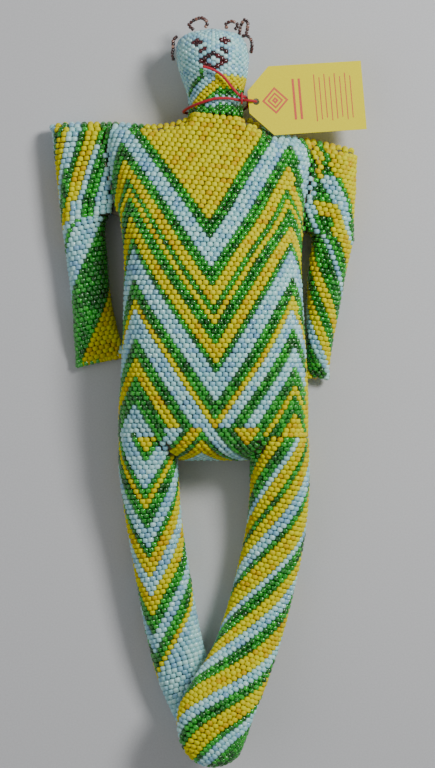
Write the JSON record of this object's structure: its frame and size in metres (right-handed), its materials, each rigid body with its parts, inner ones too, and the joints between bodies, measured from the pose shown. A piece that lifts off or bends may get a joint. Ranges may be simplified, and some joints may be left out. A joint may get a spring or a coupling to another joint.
{
  "type": "beaded cloth doll",
  "caption": "Stuffed cotton doll lying on its back in a skin of stitched glass seed beads, with looped bead hair and a card swing tag on a red cord round its neck.",
  "frame": {"origin": "on the flat patch under the torso's back, where the doll rests when it lies on its back", "axes": "+Z out of the chest, +Y towards the head, +X to the doll's left"},
  "size_m": [0.2015, 0.4758, 0.0638],
  "materials": {
    "beads": "glossy opaque glass seed beads in yellow, dark green and pale blue",
    "head_beads": "glossy opaque pale blue glass seed beads",
    "cloth": "plain woven cotton",
    "wadding": "polyester fibre wadding",
    "hair_beads": "dark reddish brown lined glass seed beads",
    "cord": "crimson flat string",
    "card": "matt yellow card",
    "thread": "dark green nylon beading thread"
  },
  "bodies": {
    "torso": {"torso_bead_skin": "beads", "torso_cloth_casing": "cloth", "torso_stuffing": "wadding", "right_shoulder_seam_thread": "thread", "left_shoulder_seam_thread": "thread", "tag_cord": "cord", "cord_knot": "cord"},
    "head": {"head_bead_skin": "head_beads", "head_cloth_casing": "cloth", "head_stuffing": "wadding", "hair_ear_right": "hair_beads", "hair_crown_right": "hair_beads", "hair_crown_left": "hair_beads", "hair_tuft_left": "hair_beads", "hair_ear_left": "hair_beads"},
    "right_arm": {"right_arm_bead_skin": "beads", "right_arm_cloth_casing": "cloth", "right_arm_stuffing": "wadding"},
    "left_arm": {"left_arm_bead_skin": "beads", "left_arm_cloth_casing": "cloth", "left_arm_stuffing": "wadding"},
    "right_leg": {"right_leg_bead_skin": "beads", "right_leg_cloth_casing": "cloth", "right_leg_stuffing": "wadding"},
    "left_leg": {"left_leg_bead_skin": "beads", "left_leg_cloth_casing": "cloth", "left_leg_stuffing": "wadding"},
    "tag": {"swing_tag": "card"}
  },
  "joints": [
    {"name": "neck_turn", "type": "hinge", "parent": "torso", "child": "head", "pos_m": [0.0017, 0.119, 0.0206], "axis": [0, 1, 0], "range_deg": [-25, 25]},
    {"name": "right_shoulder", "type": "hinge", "parent": "torso", "child": "right_arm", "pos_m": [-0.07, 0.084, 0.019], "axis": [-0.1, 0.995, 0], "range_deg": [0, 50]},
    {"name": "left_shoulder", "type": "hinge", "parent": "torso", "child": "left_arm", "pos_m": [0.0654, 0.076, 0.019], "axis": [-0.13, -0.9915, 0], "range_deg": [0, 50]},
    {"name": "right_hip", "type": "hinge", "parent": "torso", "child": "right_leg", "pos_m": [-0.0415, -0.113, 0.017], "axis": [-0.342, 0, -0.9397], "range_deg": [0, 30]},
    {"name": "left_hip", "type": "hinge", "parent": "torso", "child": "left_leg", "pos_m": [0.0426, -0.113, 0.017], "axis": [-0.766, 0, 0.6428], "range_deg": [0, 45]},
    {"name": "tag_swing", "type": "hinge", "parent": "torso", "child": "tag", "pos_m": [0.0274, 0.1255, 0.0364], "axis": [0.0872, -0.9962, 0], "range_deg": [0, 70]}
  ]
}
